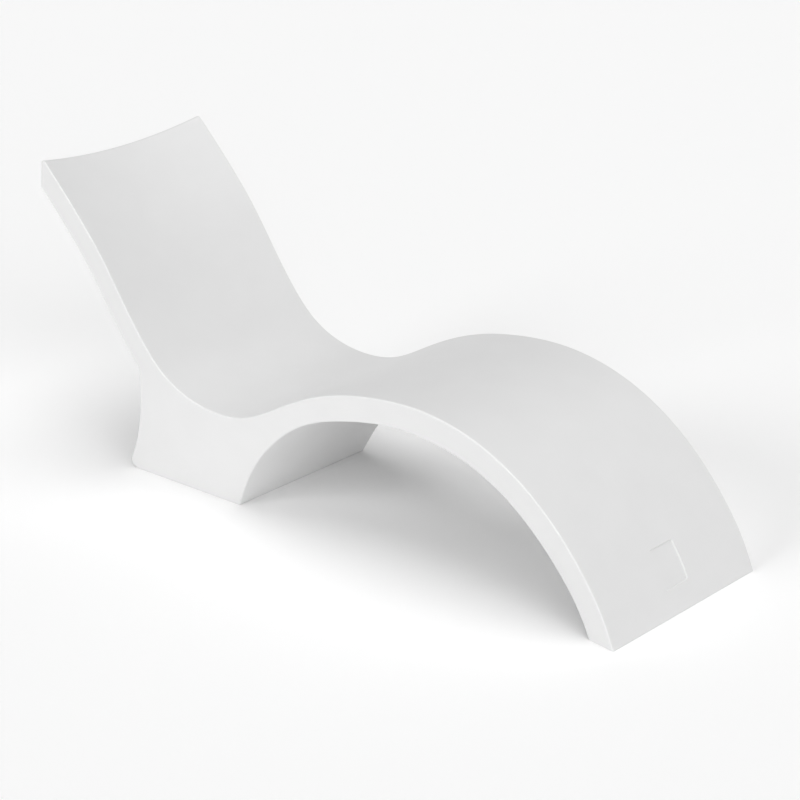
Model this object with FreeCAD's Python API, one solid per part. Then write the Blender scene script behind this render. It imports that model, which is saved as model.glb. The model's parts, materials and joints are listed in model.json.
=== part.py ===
"""In-pool chaise longue: a hollow, one-piece moulded S shape on a pedestal, with three screw plugs.

X runs across the lounger, Y from the foot end (-Y) to the head end (+Y), Z up from the floor.
The origin is on the floor, under the middle of the overall box. All lengths are in millimetres.
"""
import FreeCAD, Part
import math
import os

os.makedirs("parts", exist_ok=True)
Vector = FreeCAD.Vector

# Overall sizes, measured to the sharp corners before the edges are rounded
length = 1834.0
width = 559.0
height = 786.0

# Moulded shell
wall = 6.0
band = 72.5
base_inset = 45.0
dish_depth = 24.0
edge_radius = 4.0
sharp_degrees = 8.0
neck_radius = 35.0
heel_radius = 20.0
recess_width = 86.0
recess_length = 98.0
recess_depth = 3.0
overrun = 30.0

# Screw plugs, their gaskets and the threaded fittings welded into the shell
thread_core_radius = 14.0
thread_height = 2.0
thread_sunk = 0.4
thread_pitch = 5.0
thread_turns = 3
thread_clearance = 0.3
fitting_spigot_radius = 20.0
fitting_spigot_length = 16.0
fitting_flange_radius = 26.0
fitting_flange = 4.0
weld_clearance = 0.1
gasket_radius = 22.0
gasket_thickness = 2.5
gasket_clearance = 0.6
seal_clearance = 0.1
plug_head_radius = 24.0
plug_head = 6.0
plug_wall = 3.5
plug_dish_radius = 19.0
plug_dish_depth = 4.0
plug_bar_width = 7.0
plug_edge_radius = 1.0
pocket_gap = 4.0
pocket_cover = 1.5

# Top edge of the side view, foot to head, as shares of length and height.
# The first and last points lie just past the ends.
top_shares = [
    (-0.0111, -0.0541), (0.0000, 0.0000), (0.0157, 0.0825), (0.0490, 0.2039), (0.1252, 0.3858),
    (0.2198, 0.5065), (0.3234, 0.5489), (0.3833, 0.5404), (0.4434, 0.5144), (0.4989, 0.4702),
    (0.5542, 0.4048), (0.6142, 0.3374), (0.6651, 0.3230), (0.7206, 0.3437), (0.7621, 0.3914),
    (0.8014, 0.4811), (0.8457, 0.6223), (0.8799, 0.7355), (0.9168, 0.8371), (0.9815, 0.9933),
    (0.9977, 1.0303),
]
# The arch keeps an even band up to this share, then runs down the pedestal's front to the floor.
arch_even_share = 0.30
arch_shares = [
    (0.3678, 0.4573), (0.4354, 0.4300), (0.5058, 0.3756), (0.5724, 0.2617), (0.6259, 0.1023),
    (0.6440, 0.0000), (0.6560, -0.0900),
]
# The hollow neck behind the pedestal, top to floor, and the near-upright end of the backrest
neck_shares = [(0.8177, 0.3450), (0.8327, 0.1611), (0.8670, 0.0000)]
head_shares = [(1.0000, 0.8990), (0.9845, 1.0000)]
# The seat's lowest place, where the cross dish begins, and the place on top that is square above the heel
seat_share = 0.6651
above_heel_share = 0.7529
# The backrest's underside follows the top edge from this share on.
back_share = 0.66
# Places along the top edge of the two ports in the band and of the recess, and the neck port's height
back_port_share = 0.93
foot_port_share = 0.04
pedestal_port_share = 0.085
recess_share = 0.0275
# Thread ridge widths at its foot and its crest, as shares of the pitch
ridge_foot_share = 0.56
ridge_crest_share = 0.24


def place(shares):
    """A point of the side view, from its shares of length and height."""
    return Vector(0, (shares[0] - 0.5) * length, shares[1] * height)


def smooth(points):
    """One smooth curve through the points."""
    curve = Part.BSplineCurve()
    curve.interpolate(points)
    return curve


def inward(curve, point):
    """Unit direction square to a side-view curve at a point, pointing down where the curve is level."""
    tangent = curve.tangent(curve.parameter(point))[0]
    return Vector(0, tangent.z, -tangent.y)


top_points = [place(shares) for shares in top_shares]
top_curve = smooth(top_points)
top_inward = [inward(top_curve, point) for point in top_points]


def on_top(share):
    """The top edge's point at a share of the length, and its inward direction."""
    hit = top_curve.intersect(Part.Plane(place((share, 0)), Vector(0, 1, 0)))[0][0]
    point = Vector(0, hit.Y, hit.Z)
    return point, inward(top_curve, point)


heel = place(neck_shares[-1])
heel_depth = (heel - on_top(above_heel_share)[0]).Length
seat_height = on_top(seat_share)[0].z
span = width + 2 * overrun


def sunk(depth):
    """The top edge's points moved into the shell by a depth."""
    return [point + down * depth for point, down in zip(top_points, top_inward)]


def lines(points):
    """Straight edges through the points in turn."""
    return [Part.makeLine(a, b) for a, b in zip(points, points[1:])]


def prism(edges):
    """A closed side-view outline drawn out across the width and past both sides."""
    face = Part.Face(Part.Wire(edges))
    face.translate(Vector(-span / 2, 0, 0))
    return face.extrude(Vector(span, 0, 0))


def dish_at(point):
    """How far the middle of the top lies below its two edges: nothing at the seat, most at the head."""
    along = (point.y / length + 0.5 - seat_share) / (1.0 - seat_share)
    along = min(max(along, 0.0), 1.0)
    return dish_depth * along * along * (3.0 - 2.0 * along)


def above_top(skin):
    """Everything above the dished top surface, lowered by a skin."""
    half = width / 2
    reach = half + overrun
    edge_sag = 1.0 - (reach / half) ** 2
    wires = []
    for x, sag in ((-reach, edge_sag), (0, 1.0), (reach, edge_sag)):
        points = []
        for point, down in zip(top_points, top_inward):
            low = point + down * (skin + dish_at(point) * sag)
            points.append(Vector(x, low.y, low.z))
        wires.append(Part.Wire([smooth(points).toShape()]))
    sheet = Part.makeLoft(wires, False, False)
    return sheet.Faces[0].extrude(Vector(0, 0, 2 * height))


def lean_at(point, down):
    """How fast the side leans in below a top point. It reaches base_inset at the floor under the seat."""
    to_floor = point.z / down.z * -1.0 if down.z < 0 else heel_depth
    return base_inset / min(max(to_floor, seat_height), heel_depth)


def beside(side, skin):
    """Everything outside one leaning side, moved in by a skin. Side is -1 or 1."""
    rails = []
    for depth in (-overrun, heel_depth + overrun):
        points = []
        for point, down in zip(top_points, top_inward):
            low = point + down * depth
            points.append(Vector(side * (width / 2 - skin - depth * lean_at(point, down)), low.y, low.z))
        rails.append(smooth(points).toShape())
    face = Part.makeRuledSurface(rails[0], rails[1])
    return face.extrude(Vector(side * width, 0, 0))


def under_arch(skin):
    """The open space under the arch, grown by a skin."""
    even = [shares[0] < arch_even_share for shares in top_shares]
    points = [point for point, keep in zip(sunk(band), even) if keep]
    points += [place(shares) for shares in arch_shares]
    curve = smooth(points)
    points = [point - inward(curve, point) * skin for point in points]
    first = Vector(0, points[0].y, -height)
    last = Vector(0, points[-1].y, -height)
    return prism([smooth(points).toShape()] + lines([points[-1], last, first, points[0]]))


neck_arc = Part.Arc(*[place(shares) for shares in neck_shares]).toShape().Curve


def behind(skin):
    """The open space behind the neck and under the backrest, grown by a skin."""
    along_back = [shares[0] > back_share for shares in top_shares]
    points = [point for point, keep in zip(sunk(band - skin), along_back) if keep]
    far_high = points[-1] + Vector(0, length, 0)
    far_low = Vector(0, far_high.y, -height)
    near_low = Vector(0, points[0].y, -height)
    edges = lines([points[-1], far_high, far_low, near_low, points[0]])
    start = Vector(-span / 2, neck_arc.Center.y, neck_arc.Center.z)
    hollow = Part.makeCylinder(neck_arc.Radius + skin, span, start, Vector(1, 0, 0))
    return prism([smooth(points).toShape()] + edges).common(hollow)


def past_head(skin):
    """Everything past the near-upright end of the backrest, moved in by a skin."""
    low, high = [place(shares) for shares in head_shares]
    along = (high - low).normalize()
    forward = Vector(0, -along.z, along.y)
    low = low + forward * skin - along * height
    high = high + forward * skin + along * height
    away = forward * -length
    return prism(lines([low, high, high + away, low + away, low]))


def form(skin):
    """The lounger's solid form, with every surface moved inwards by a skin."""
    front = (top_points[0].y + top_points[1].y) / 2
    corner = Vector(-span / 2, front, skin)
    block = Part.makeBox(span, length / 2 + overrun - front, height + overrun, corner)
    for around in (above_top, under_arch, behind, past_head):
        block = block.cut(around(skin))
    for side in (-1, 1):
        block = block.cut(beside(side, skin))
    return block.Solids[0]


def edge_across(shape, point):
    """The edge running across the lounger that lies nearest to a point."""
    across = [edge for edge in shape.Edges if abs(edge.Vertexes[0].X - edge.Vertexes[-1].X) > width / 2]
    return min(across, key=lambda edge: (edge.CenterOfMass - point).Length)


def sharp_edges(shape):
    """The edges where two faces meet at a corner."""
    found = []
    for edge in shape.Edges:
        middle = edge.valueAt((edge.FirstParameter + edge.LastParameter) / 2)
        normals = []
        for face in shape.ancestorsOfType(edge, Part.Face):
            normals.append(face.normalAt(*face.Surface.parameter(middle)))
        if len(normals) == 2 and normals[0].getAngle(normals[1]) > math.radians(sharp_degrees):
            found.append(edge)
    return found


def rounded_form():
    """The outer form with its hollow neck, its heel and all its other edges rounded."""
    shape = form(0)
    shape = shape.makeFillet(heel_radius, [edge_across(shape, heel)])
    shape = shape.makeFillet(neck_radius, [edge_across(shape, place(neck_shares[0]))])
    return shape.makeFillet(edge_radius, sharp_edges(shape))


def recess_block(margin):
    """A square block standing through the top near the foot, with a margin all round."""
    point, down = on_top(recess_share)
    wide = recess_width + 2 * margin
    long = recess_length + 2 * margin
    block = Part.makeBox(wide, long, 2 * overrun, Vector(-wide / 2, -long / 2, -overrun))
    block.Placement = FreeCAD.Placement(point, FreeCAD.Rotation(Vector(0, 0, 1), down * -1))
    return block


pocket_depth = fitting_flange + gasket_thickness + seal_clearance + plug_head + pocket_cover
pocket_radius = fitting_flange_radius + pocket_gap


def port_places():
    """Each port's name with the frame at the middle of its pocket's floor, +Z pointing out of the shell."""
    found = {}
    for name, share in (("back_fill", back_port_share), ("foot_drain", foot_port_share)):
        point, down = on_top(share)
        found[name] = (point + down * band, down)
    rise = pedestal_port_share * height - neck_arc.Center.z
    run = math.sqrt(neck_arc.Radius ** 2 - rise ** 2)
    out = Vector(0, run, -rise).normalize()
    found["pedestal_drain"] = (Vector(0, neck_arc.Center.y - run, neck_arc.Center.z + rise), out)
    return {
        name: FreeCAD.Placement(point - out * pocket_depth, FreeCAD.Rotation(Vector(0, 0, 1), out))
        for name, (point, out) in found.items()
    }


def placed(shape, placement):
    """A copy of a shape moved to a port's frame."""
    copy = shape.copy()
    copy.Placement = placement
    return copy


def drum(radius, low, high):
    """A cylinder about the port's axis between two heights."""
    return Part.makeCylinder(radius, high - low, Vector(0, 0, low))


def shell(ports):
    """The hollow moulding, with a pocket for each port and the shallow recess near the foot."""
    outside = rounded_form()
    cavity = form(wall)
    outside = outside.cut(recess_block(0).cut(form(recess_depth)))
    cavity = cavity.cut(recess_block(wall).cut(form(wall + recess_depth)))
    for port in ports.values():
        boss = drum(pocket_radius + wall, -wall, pocket_depth + overrun)
        hole = drum(fitting_spigot_radius + weld_clearance, -2 * wall, wall)
        pocket = drum(pocket_radius, 0, pocket_depth + overrun)
        cavity = cavity.cut(placed(boss, port)).fuse(placed(hole, port))
        outside = outside.cut(placed(pocket, port))
    return outside.cut(cavity)


def ridge(radius, low, turns, clearance):
    """A helical thread ridge standing on a core, or its larger groove with a clearance."""
    foot = ridge_foot_share * thread_pitch / 2 + clearance
    crest = ridge_crest_share * thread_pitch / 2 + clearance
    inner = radius - thread_sunk
    outer = radius + thread_height
    corners = [(inner, -foot), (outer, -crest), (outer, crest), (inner, foot), (inner, -foot)]
    outline = Part.Wire(lines([Vector(r, 0, low + z) for r, z in corners]))
    helix = Part.makeHelix(thread_pitch, turns * thread_pitch, radius)
    helix.translate(Vector(0, 0, low))
    return Part.Wire(helix.Edges).makePipeShell([outline], True, True)


shank_low = thread_height - fitting_spigot_length
thread_low = shank_low + thread_pitch / 2
gasket_low = fitting_flange
gasket_high = gasket_low + gasket_thickness
head_low = gasket_high + seal_clearance


def fitting():
    """Flanged, internally threaded fitting, welded into the floor of its pocket."""
    body = drum(fitting_flange_radius, 0, fitting_flange)
    body = body.fuse(drum(fitting_spigot_radius, -fitting_spigot_length, 0)).removeSplitter()
    bore = thread_core_radius + thread_clearance
    below = math.ceil((thread_low + fitting_spigot_length) / thread_pitch) + 1
    above = math.ceil((fitting_flange - thread_low) / thread_pitch) + 1
    tap_low = thread_low - below * thread_pitch
    tap_high = thread_low + above * thread_pitch
    tap = drum(bore, tap_low - thread_pitch, tap_high + thread_pitch)
    return body.cut(tap.fuse(ridge(bore, tap_low, below + above, thread_clearance)))


def gasket():
    """Flat sealing ring between the fitting's flange and the plug's head."""
    hole = thread_core_radius + thread_height + gasket_clearance
    ring = drum(gasket_radius, gasket_low, gasket_high)
    return ring.cut(drum(hole, gasket_low, gasket_high))


def plug():
    """Hollow screw plug with a dished head and a bar across the dish to turn it by."""
    head_high = head_low + plug_head
    head = drum(plug_head_radius, head_low, head_high)
    rims = [edge for edge in head.Edges if isinstance(edge.Curve, Part.Circle)]
    head = head.makeFillet(plug_edge_radius, rims)
    dish = drum(plug_dish_radius, head_high - plug_dish_depth, head_high)
    bar = Part.makeBox(
        2 * plug_dish_radius, plug_bar_width, plug_dish_depth,
        Vector(-plug_dish_radius, -plug_bar_width / 2, head_high - plug_dish_depth))
    head = head.cut(dish.cut(bar))
    shank = drum(thread_core_radius, shank_low, head_low + plug_edge_radius)
    core = drum(thread_core_radius - plug_wall, shank_low, head_high - plug_dish_depth - plug_wall)
    body = head.fuse(shank).fuse(ridge(thread_core_radius, thread_low, thread_turns, 0))
    return body.cut(core)


ports = port_places()
pieces = {"lounger_shell": shell(ports)}
for port_name, port in ports.items():
    pieces[port_name + "_fitting"] = placed(fitting(), port)
    pieces[port_name + "_gasket"] = placed(gasket(), port)
    pieces[port_name + "_plug"] = placed(plug(), port)

for node, piece in pieces.items():
    solid = piece.Solids[0]
    solid.exportStep("parts/" + node + ".step")
    print(node, "valid", solid.isValid(), "solids", len(piece.Solids), "volume", round(solid.Volume))
for port_name, port in ports.items():
    axis = port.Rotation.multVec(Vector(0, 0, 1))
    print(port_name, "pocket floor", [round(v, 4) for v in port.Base], "axis", [round(v, 7) for v in axis])
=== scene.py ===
import json
import math

import bmesh
import bpy
import numpy as np
from mathutils import Matrix, Vector


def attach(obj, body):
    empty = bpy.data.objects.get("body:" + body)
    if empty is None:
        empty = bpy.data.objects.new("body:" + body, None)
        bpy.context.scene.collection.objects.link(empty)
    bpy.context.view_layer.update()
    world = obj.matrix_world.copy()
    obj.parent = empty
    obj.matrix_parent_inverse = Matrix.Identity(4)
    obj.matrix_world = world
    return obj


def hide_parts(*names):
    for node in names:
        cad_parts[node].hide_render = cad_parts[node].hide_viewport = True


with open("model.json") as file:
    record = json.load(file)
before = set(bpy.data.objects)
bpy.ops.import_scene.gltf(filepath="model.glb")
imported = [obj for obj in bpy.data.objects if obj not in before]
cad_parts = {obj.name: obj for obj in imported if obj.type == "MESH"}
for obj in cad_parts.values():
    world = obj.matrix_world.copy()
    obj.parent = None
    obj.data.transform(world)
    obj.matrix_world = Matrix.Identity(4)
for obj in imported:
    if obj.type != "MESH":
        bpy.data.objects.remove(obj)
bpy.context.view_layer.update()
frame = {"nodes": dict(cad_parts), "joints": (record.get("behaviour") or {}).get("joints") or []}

# Lounger shell. One hollow rotational moulding in white polyethylene: backrest, seat, knee crest
# and leg rest are one S-shaped band, and the pedestal under the seat is part of the same skin.
# Its edges are rounded as the powder melts into the mould, and its sides lean in to leave the mould.
shell_length = 1.834
shell_width = 0.559
shell_height = 0.786
band_depth = 0.0725
base_inset = 0.045
dish_depth = 0.024
edge_round = 0.0043
sole_round = 0.0015
heel_radius = 0.020
neck_radius = 0.035
recess_width = 0.086
recess_length = 0.101
recess_depth = 0.003
recess_draft = 0.002
recess_round = 0.0006
# The flat along the top of the head, from front to back, and how far it falls
head_flat = 0.011
head_fall = 0.0015

# Top edge of the side view from foot to head, as shares of the length and height
top_shares = [
    (0.0000, 0.0000), (0.0157, 0.0825), (0.0490, 0.2039), (0.1252, 0.3858), (0.2198, 0.5065),
    (0.3234, 0.5489), (0.3833, 0.5404), (0.4434, 0.5144), (0.4989, 0.4702), (0.5542, 0.4048),
    (0.6142, 0.3374), (0.6651, 0.3230), (0.7206, 0.3437), (0.7621, 0.3914), (0.8014, 0.4811),
    (0.8457, 0.6223), (0.8799, 0.7355), (0.9168, 0.8371), (0.9815, 0.9933), (0.9977, 1.0303),
]
# The arch runs evenly under the band from this height as far as this share of the length,
# guided by one in so many of the band's points, then down the pedestal's front
arch_from = 0.02
arch_even_share = 0.30
arch_stride = 60
arch_shares = [
    (0.3678, 0.4573), (0.4354, 0.4300), (0.5058, 0.3756), (0.5724, 0.2617), (0.6259, 0.1023),
    (0.6490, 0.0000),
]
neck_shares = [(0.8670, 0.0000), (0.8327, 0.1611), (0.8177, 0.3450)]
head_shares = [(1.0000, 0.8990), (0.9845, 1.0000)]
seat_share = 0.6651
above_heel_share = 0.7529
recess_share = 0.0266
# Shares of the length where the top is divided to face the pedestal's corners, and the spans
# between those places and both ends of the recess
top_stop_shares = [0.50, 0.615, 0.735, 0.79]
top_spans = [8, 12, 96, 40, 24, 30, 60]
heel_spans = 6
neck_spans = 8
# Columns across half the width; the first one is the recess's edge
column_shares = [recess_width / shell_width, 0.32, 0.48, 0.64, 0.80, 0.91, 1.0]
# Points along a curve before it is divided into spans
curve_points = 4000
top_points = 3000


def place(shares):
    """A point (y, z) of the side view, in metres."""
    return np.array([(shares[0] - 0.5) * shell_length, shares[1] * shell_height])


def even_run(line, count):
    """The same line with its points spaced evenly along it."""
    along = np.r_[0, np.cumsum(np.hypot(*np.diff(line, axis=0).T))]
    steps = np.linspace(0, along[-1], count + 1)
    return np.c_[np.interp(steps, along, line[:, 0]), np.interp(steps, along, line[:, 1])]


def smooth_run(points, count):
    """Even points along the smooth curve that a bent spline takes through a few points."""
    knots = np.array(points)
    at = np.r_[0, np.cumsum(np.hypot(*np.diff(knots, axis=0).T))]
    gap = np.diff(at)
    system = np.eye(len(at))
    pull = np.zeros_like(knots)
    for i in range(1, len(at) - 1):
        system[i, i - 1:i + 2] = gap[i - 1], 2 * (gap[i - 1] + gap[i]), gap[i]
        pull[i] = 6 * ((knots[i + 1] - knots[i]) / gap[i] - (knots[i] - knots[i - 1]) / gap[i - 1])
    bend = np.linalg.solve(system, pull)
    fine = np.linspace(0, at[-1], curve_points)
    k = np.clip(np.searchsorted(at, fine) - 1, 0, len(gap) - 1)
    left = ((at[k + 1] - fine) / gap[k])[:, None]
    right = 1 - left
    square = (gap[k] ** 2 / 6)[:, None]
    curve = left * knots[k] + right * knots[k + 1]
    curve += square * ((left ** 3 - left) * bend[k] + (right ** 3 - right) * bend[k + 1])
    return even_run(curve, count)


def arc_run(centre, start, end, count):
    """Even points round a centre, the short way from one point to another."""
    first, last = [math.atan2(*(p - centre)[::-1]) for p in (start, end)]
    turn = (last - first + math.pi) % (2 * math.pi) - math.pi
    angles = first + np.linspace(0, turn, count + 1)
    return centre + np.hypot(*(start - centre)) * np.c_[np.cos(angles), np.sin(angles)]


def joined(runs):
    """Runs that follow one another, as one line."""
    return np.vstack([runs[0]] + [run[1:] for run in runs[1:]])


# The top edge, the direction square to it and into the shell, and the end face at the head
top_line = smooth_run([place(s) for s in top_shares], top_points)
slope = np.gradient(top_line, axis=0)
slope /= np.hypot(*slope.T)[:, None]
top_down = np.c_[slope[:, 1], -slope[:, 0]]
band_line = top_line + top_down * band_depth
head_low, head_high = [place(s) for s in head_shares]
head_out = np.array([head_high[1] - head_low[1], head_low[0] - head_high[0]])


def cut_at_head(line):
    """A line from foot to head, ended at the near-upright end face."""
    past = (line - head_low) @ head_out
    end = np.argmax(past > 0)
    share = past[end - 1] / (past[end - 1] - past[end])
    return np.vstack([line[:end], line[end - 1] + (line[end] - line[end - 1]) * share])


def above(y):
    """The top edge's point at a Y."""
    return np.array([y, np.interp(y, top_line[:, 0], top_line[:, 1])])


# The stops that divide the top: both ends of the recess, and the places above the pedestal's corners
top_run = np.r_[0, np.cumsum(np.hypot(*np.diff(top_line, axis=0).T))]
recess_run = np.interp(place((recess_share, 0))[0], top_line[:, 0], top_run)
stops = [np.interp(recess_run + end * recess_length / 2, top_run, top_line[:, 0]) for end in (-1, 1)]
stops += [place((share, 0))[0] for share in top_stop_shares]


def top_at(column):
    """The top's points along one column, dished most at the head, with the head's flat at the end."""
    along = np.clip((top_line[:, 0] / shell_length + 0.5 - seat_share) / (1 - seat_share), 0, 1)
    sag = dish_depth * along * along * (3 - 2 * along) * (1 - column * column)
    line = cut_at_head(top_line + top_down * sag[:, None])
    between_ends = [np.array([y, np.interp(y, line[:, 0], line[:, 1])]) for y in stops]
    ends = [line[0], *between_ends, line[-1]]
    runs = []
    for start, end, count in zip(ends, ends[1:], top_spans):
        between = line[(line[:, 0] > start[0]) & (line[:, 0] < end[0])]
        runs.append(even_run(np.vstack([start, between, end]), count))
    return np.vstack([joined(runs), line[-1] + (head_flat, -head_fall)])


# The underside from the foot: the arch, the base, the rounded heel, the hollow neck and the back.
# The band meets the floor in the first fifth of its points.
foot_part = band_line[:top_points // 5]
foot_inner = np.array([np.interp(0, foot_part[:, 1], foot_part[:, 0]), 0])
even_part = (band_line[:, 1] > arch_from) & (top_line[:, 0] < place((arch_even_share, 0))[0])
arch_guide = [foot_inner, *band_line[even_part][::arch_stride], *[place(s) for s in arch_shares]]
arch = smooth_run(arch_guide, curve_points)
arch_split = np.argmin(abs(arch[:, 0] - place(arch_shares[2])[0]))
low, middle, high = [place(s) for s in neck_shares]
chords = np.array([middle - low, high - middle])
hollow = np.linalg.solve(chords, [chords[0] @ (low + middle) / 2, chords[1] @ (middle + high) / 2])
hollow_radius = np.hypot(*(low - hollow))
heel_drop = hollow[1] - heel_radius
heel_back = math.sqrt((hollow_radius + heel_radius) ** 2 - heel_drop ** 2)
heel = np.array([hollow[0] - heel_back, heel_radius])
heel_end = hollow + (heel - hollow) * hollow_radius / (hollow_radius + heel_radius)
neck_line = top_line + top_down * (band_depth + neck_radius)
reach = abs(np.hypot(*(neck_line - hollow).T) - (hollow_radius - neck_radius))
neck_at = np.argmin(np.where(abs(neck_line[:, 0] - high[0]) < band_depth, reach, 1))
neck = neck_line[neck_at]
neck_end = hollow + (neck - hollow) * hollow_radius / (hollow_radius - neck_radius)
under = joined([
    even_run(arch[:arch_split + 1], sum(top_spans[:3])),
    even_run(arch[arch_split:], top_spans[3]),
    even_run(np.array([arch[-1], [heel[0], 0]]), top_spans[4]),
    arc_run(heel, np.array([heel[0], 0]), heel_end, heel_spans),
    arc_run(hollow, heel_end, neck_end, top_spans[5] - heel_spans - neck_spans),
    arc_run(neck, neck_end, band_line[neck_at], neck_spans + 1),
    even_run(cut_at_head(band_line)[neck_at:], top_spans[6]),
])

# The least fall that counts where the top edge is steep, so that the lean stays finite
least_fall = 0.05


def half_width(point):
    """Half the width at a point of the side view: full at the top edge, leaning in below it."""
    nearest = np.argmin(np.hypot(*(top_line - point).T))
    depth = np.hypot(*(top_line[nearest] - point))
    heel_depth = np.hypot(*(low - above(place((above_heel_share, 0))[0])))
    seat_height = above(place((seat_share, 0))[0])[1]
    fall = max(-top_down[nearest, 1], least_fall)
    to_floor = np.clip(top_line[nearest, 1] / fall, seat_height, heel_depth)
    return shell_width / 2 - depth * base_inset / to_floor


# Half the skin: the side view's outline in the middle plane, drawn out to one side column by column.
# The head's flat makes one more span on top, and the neck has one more below it.
weld_gap = 1e-6
shell_mesh = bmesh.new()
station = shell_mesh.verts.layers.int.new("station")
recess = shell_mesh.faces.layers.int.new("recess")
outline = np.vstack([top_at(0), under[::-1]])
last = sum(top_spans) + 1
half_widths = [shell_width / 2] * (last + 1) + [half_width(point) for point in under[::-1]]
ring = [shell_mesh.verts.new((0, y, z)) for y, z in outline]
for i, vert in enumerate(ring):
    vert[station] = i
rim = [shell_mesh.edges.new((a, b)) for a, b in zip(ring, ring[1:] + ring[:1])]
for column in column_shares:
    outline = np.vstack([top_at(column), under[::-1]])
    drawn = bmesh.ops.extrude_edge_only(shell_mesh, edges=rim)["geom"]
    rim = [e for e in drawn if isinstance(e, bmesh.types.BMEdge)]
    for vert in (v for v in drawn if isinstance(v, bmesh.types.BMVert)):
        vert.co = (column * half_widths[vert[station]], *outline[vert[station]])
sides = [e for e in rim if len({v[station] <= last for v in e.verts}) == 1]
bmesh.ops.bridge_loops(shell_mesh, edges=sides)
for face in shell_mesh.faces:
    along_recess = all(top_spans[0] <= v[station] <= sum(top_spans[:2]) for v in face.verts)
    face[recess] = along_recess and all(v.co.x < recess_width / 2 + edge_round for v in face.verts)
bmesh.ops.mirror(shell_mesh, geom=shell_mesh.verts[:] + shell_mesh.edges[:] + shell_mesh.faces[:],
                 axis="X", merge_dist=weld_gap)
bmesh.ops.recalc_face_normals(shell_mesh, faces=shell_mesh.faces)


def round_edges(mesh, edges, offset, segments):
    """Edges rounded off, as a moulded edge is."""
    bmesh.ops.bevel(mesh, geom=edges, offset=offset, offset_type="OFFSET", segments=segments,
                    profile=0.5, affect="EDGES", material=-1, clamp_overlap=True)


# The long edges first, then the crisper edges of the two soles that stand on the floor
sharp_angle = math.radians(30)
floor_gap = 1e-5
for on_floor, radius, segments in ((False, edge_round, 4), (True, sole_round, 2)):
    sharp = [e for e in shell_mesh.edges if e.calc_face_angle(0) > sharp_angle]
    sharp = [e for e in sharp if all(v.co.z < floor_gap for v in e.verts) == on_floor]
    round_edges(shell_mesh, sharp, radius, segments)

# The shallow recess near the foot, left bare, with drafted walls
floor_faces = [f for f in shell_mesh.faces if f[recess]]
bmesh.ops.inset_region(shell_mesh, faces=floor_faces, thickness=recess_draft, depth=-recess_depth,
                       use_even_offset=True, use_boundary=True)
edges = [e for f in floor_faces for e in f.edges if not all(g in floor_faces for g in e.link_faces)]
wall_faces = [g for e in edges for g in e.link_faces if g not in floor_faces]
inside = wall_faces + floor_faces
edges += [e for f in wall_faces for e in f.edges if not all(g in inside for g in e.link_faces)]
round_edges(shell_mesh, list(dict.fromkeys(edges)), recess_round, segments=2)

shell = bpy.data.objects.new("moulded_shell", bpy.data.meshes.new("moulded_shell"))
bpy.context.scene.collection.objects.link(shell)
shell_mesh.to_mesh(shell.data)
shell_mesh.free()

# Round pockets moulded in for the three plugs, each with the socket that its fitting is welded into
pocket_radius = 0.030
pocket_reach = 0.060
pocket_sides = 96
socket_radius = 0.0201
socket_depth = 0.022
mouth_round = 0.0015
mouth_slack = 5e-5
speck = 2e-5
crease_angle = math.radians(40)
ports = {j["name"].removesuffix("_turn"): j for j in frame["joints"] if j["name"].endswith("_turn")}
for joint in ports.values():
    out, base = Vector(joint["axis"]), Vector(joint["pos_m"])
    aim = Matrix.Translation(base) @ out.to_track_quat("Z", "Y").to_matrix().to_4x4()
    pocket_mesh = bmesh.new()
    for radius, bottom in ((pocket_radius, 0), (socket_radius, -socket_depth)):
        middle_height = (bottom + pocket_reach) / 2
        bmesh.ops.create_cone(pocket_mesh, cap_ends=True, segments=pocket_sides, radius1=radius,
                              radius2=radius, depth=pocket_reach - bottom,
                              matrix=aim @ Matrix.Translation((0, 0, middle_height)))
        cutter = bpy.data.objects.new("pocket", bpy.data.meshes.new("pocket"))
        bpy.context.scene.collection.objects.link(cutter)
        pocket_mesh.to_mesh(cutter.data)
        pocket_mesh.clear()
        cut = shell.modifiers.new("pocket", "BOOLEAN")
        cut.operation = "DIFFERENCE"
        cut.object = cutter
        shown = shell.evaluated_get(bpy.context.evaluated_depsgraph_get())
        plain = shell.data
        shell.data = bpy.data.meshes.new_from_object(shown)
        shell.modifiers.clear()
        bpy.data.meshes.remove(plain)
        bpy.data.objects.remove(cutter)
    pocket_mesh.from_mesh(shell.data)
    bmesh.ops.dissolve_degenerate(pocket_mesh, dist=speck, edges=pocket_mesh.edges)
    mouth = []
    for edge in pocket_mesh.edges:
        spokes = [v.co - base for v in edge.verts]
        raised = all(s.dot(out) > pocket_radius / 4 for s in spokes)
        from_axis = [(s - out * s.dot(out)).length for s in spokes]
        on_bore = all(abs(r - pocket_radius) < mouth_slack for r in from_axis)
        if raised and on_bore and edge.calc_face_angle(0) > crease_angle:
            mouth.append(edge)
    round_edges(pocket_mesh, mouth, mouth_round, segments=3)
    pocket_mesh.to_mesh(shell.data)
    pocket_mesh.free()
shell.data.shade_smooth()
shell.data.set_sharp_from_angle(angle=crease_angle)
weighted = shell.modifiers.new("weighted_normals", "WEIGHTED_NORMAL")
weighted.keep_sharp = True


def colour(code):
    """A hex sRGB colour as linear light, with alpha."""
    parts = [int(code[i:i + 2], 16) / 255 for i in (1, 3, 5)]
    return [c / 12.92 if c < 0.04045 else ((c + 0.055) / 1.055) ** 2.4 for c in parts] + [1]


def add_node(tree, kind, values=(), **settings):
    """A node with its settings, its sockets set to a value or joined to another socket."""
    node = tree.nodes.new(kind)
    for key, value in settings.items():
        setattr(node, key, value)
    for key, value in dict(values).items():
        if isinstance(value, bpy.types.NodeSocket):
            tree.links.new(value, node.inputs[key])
        else:
            node.inputs[key].default_value = value
    return node


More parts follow.
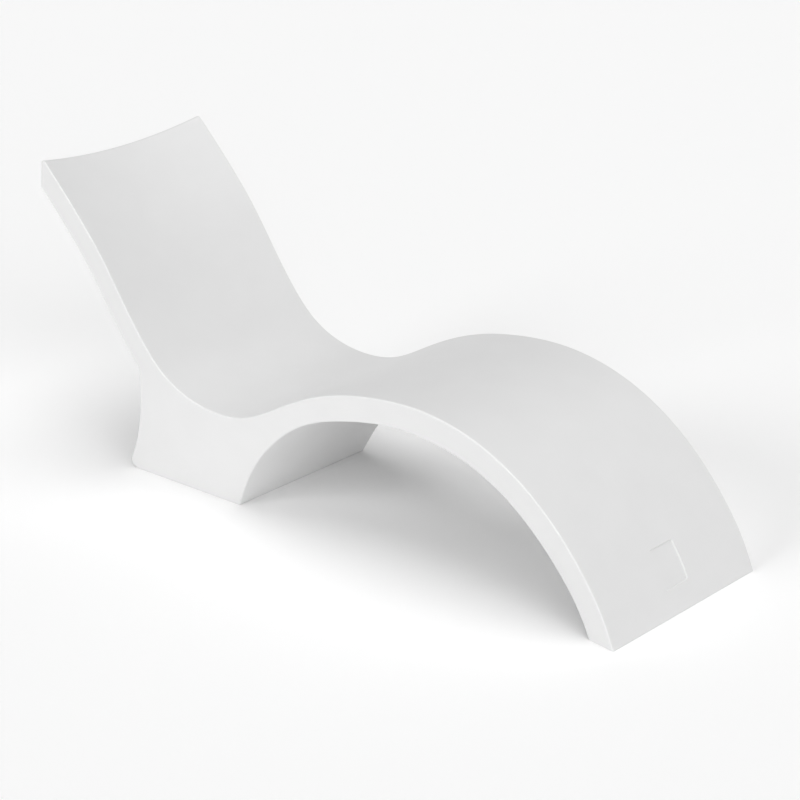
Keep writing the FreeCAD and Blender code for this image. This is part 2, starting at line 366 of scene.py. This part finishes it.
def moulded_finish(name, tones, cloud_size, grain_size, relief, dullness, ior, specular):
    """A moulded skin: two close tones in clouds, a sheen that follows them, a fine grain in relief."""
    finish = bpy.data.materials.new(name)
    finish.use_nodes = True
    tree = finish.node_tree
    tree.nodes.clear()
    at = add_node(tree, "ShaderNodeTexCoord").outputs["Object"]
    clouds = add_node(tree, "ShaderNodeTexNoise", {
        "Vector": at, "Scale": 1 / cloud_size, "Detail": 3,
    }).outputs["Fac"]
    tint = add_node(tree, "ShaderNodeMix", {
        "Factor": clouds, "A": colour(tones[0]), "B": colour(tones[1]),
    }, data_type="RGBA")
    sheen = add_node(tree, "ShaderNodeMapRange", {
        "Value": clouds, "To Min": dullness[0], "To Max": dullness[1],
    })
    grain = add_node(tree, "ShaderNodeTexNoise", {
        "Vector": at, "Scale": 1 / grain_size, "Detail": 2,
    }).outputs["Fac"]
    grain_height = grain_size / 8
    bump = add_node(tree, "ShaderNodeBump", {
        "Height": grain, "Strength": relief, "Distance": grain_height,
    })
    skin = add_node(tree, "ShaderNodeBsdfPrincipled", {
        "Base Color": tint.outputs["Result"], "Roughness": sheen.outputs["Result"], "IOR": ior,
        "Specular IOR Level": specular, "Normal": bump.outputs["Normal"],
    })
    add_node(tree, "ShaderNodeOutputMaterial", {"Surface": skin.outputs["BSDF"]})
    return finish


# White polyethylene as it leaves a blasted mould: satin, never glossy, with clouds 90 mm across
# that are hardly there. The orange peel is about 0.5 mm on the real skin, and is drawn at 1.5 mm
# so that it shows.
shell.data.materials.append(moulded_finish(
    "white_moulded_polyethylene", ("#dfdfdf", "#e3e3e3"), cloud_size=0.09, grain_size=0.0015,
    relief=0.80, dullness=(0.44, 0.50), ior=1.51, specular=0.35))
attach(shell, "shell")
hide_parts("lounger_shell")


def dress(piece, finish):
    """One finish on the like pieces of all three ports."""
    for port in ports:
        skins = frame["nodes"][f"{port}_{piece}"].data.materials
        skins.clear()
        skins.append(finish)


# Threaded fittings. Short flanged sleeves with a female thread, injection moulded in natural
# polyethylene and welded into the shell's sockets, so that the plugs have a firm thread to hold in.
# Unpigmented polyethylene is milky and a little warmer and duller than the white shell round it.
dress("fitting", moulded_finish(
    "natural_moulded_polyethylene", ("#d6d7cf", "#dfe0d9"), cloud_size=0.012, grain_size=0.0009,
    relief=0.10, dullness=(0.38, 0.46), ior=1.54, specular=0.5))

# Gaskets. Flat rings of black rubber, moulded, that each slip over a plug's thread up to its head.
# They are pressed against the fitting's flange and seal the filled shell when the plug is home.
# Moulded rubber is a soft, dull black with a greyish bloom in patches a few millimetres across.
dress("gasket", moulded_finish(
    "black_moulded_rubber", ("#232323", "#343434"), cloud_size=0.005, grain_size=0.0006,
    relief=0.20, dullness=(0.56, 0.72), ior=1.52, specular=0.4))

# Screw plugs. White polypropylene, injection moulded, with a coarse thread and a head that is dished
# round a finger bar, so that it is turned by hand and sits below the skin.
# Polypropylene from a polished mould is a shade whiter and glossier than the shell.
dress("plug", moulded_finish(
    "white_moulded_polypropylene", ("#e3e3e1", "#e8e8e6"), cloud_size=0.03, grain_size=0.0010,
    relief=0.30, dullness=(0.28, 0.36), ior=1.49, specular=0.5))

# Floor. A plain white studio sweep, laid flat and far wider than the view, that only catches the
# lounger's shadow. It is matt white paper with no shine, so that nothing is mirrored in it.
floor_reach = 40
floor_mesh = bmesh.new()
bmesh.ops.create_grid(floor_mesh, x_segments=1, y_segments=1, size=floor_reach)
floor = bpy.data.objects.new("studio_floor", bpy.data.meshes.new("studio_floor"))
bpy.context.scene.collection.objects.link(floor)
floor_mesh.to_mesh(floor.data)
floor_mesh.free()
floor_white = bpy.data.materials.new("studio_white")
floor_white.use_nodes = True
floor_skin = floor_white.node_tree.nodes["Principled BSDF"]
floor_skin.inputs["Base Color"].default_value = colour("#fdfdfd")
floor_skin.inputs["Roughness"].default_value = 0.9
floor_skin.inputs["Specular IOR Level"].default_value = 0
floor.data.materials.append(floor_white)

# Light. A plain studio: pale walls that fill the shade, under a dim ceiling, and three soft lights.
# A very wide one hangs above, a narrower one stands to the left and throws the shadow to the right,
# and a wide one at the front left lights the near side and the leg rest.
wall_light = 0.90
ceiling_light = 0.05
wall_top = 0.12
ceiling_edge = 0.24
world = bpy.data.worlds.new("studio_room")
world.use_nodes = True
room = world.node_tree
around = add_node(room, "ShaderNodeTexCoord").outputs["Generated"]
toward = add_node(room, "ShaderNodeSeparateXYZ", {"Vector": around})
walls = add_node(room, "ShaderNodeMapRange", {
    "Value": toward.outputs["Z"], "From Min": wall_top, "From Max": ceiling_edge,
    "To Min": wall_light, "To Max": ceiling_light,
})
room.links.new(walls.outputs["Result"], room.nodes["Background"].inputs["Strength"])
room.nodes["Background"].inputs["Color"].default_value = colour("#ffffff")
bpy.context.scene.world = world
# Where each light comes from, its spread in degrees and its strength
lights = {
    "above": ((0.0, 0.0, 1.0), 60, 1.95),
    "left": ((-0.875, 0.235, 0.423), 25, 1.00),
    "front_left": ((-0.470, -0.814, 0.342), 45, 1.13),
}
for name, (come_from, spread, energy) in lights.items():
    lamp = bpy.data.lights.new(name, "SUN")
    lamp.angle = math.radians(spread)
    lamp.energy = energy
    holder = bpy.data.objects.new(name, lamp)
    bpy.context.scene.collection.objects.link(holder)
    holder.matrix_world = Vector(come_from).to_track_quat("Z", "Y").to_matrix().to_4x4()
bpy.context.scene.view_settings.view_transform = "Standard"

# Camera. It stands at the photograph's own angle with the same lens, off the near side of the foot
# and above the lounger. Both were found from the lounger's long edges in the photograph.
camera_lens = 120.06
camera_film = 36
camera_place = (-4.6099, -4.0081, 2.6896)
camera_back = (-0.7062, -0.6057, 0.3666)
camera = bpy.data.objects.new("camera", bpy.data.cameras.new("camera"))
bpy.context.scene.collection.objects.link(camera)
camera.data.lens = camera_lens
camera.data.sensor_width = camera_film
look_back = Vector(camera_back).to_track_quat("Z", "Y").to_matrix().to_4x4()
camera.matrix_world = Matrix.Translation(camera_place) @ look_back
bpy.context.scene.camera = camera
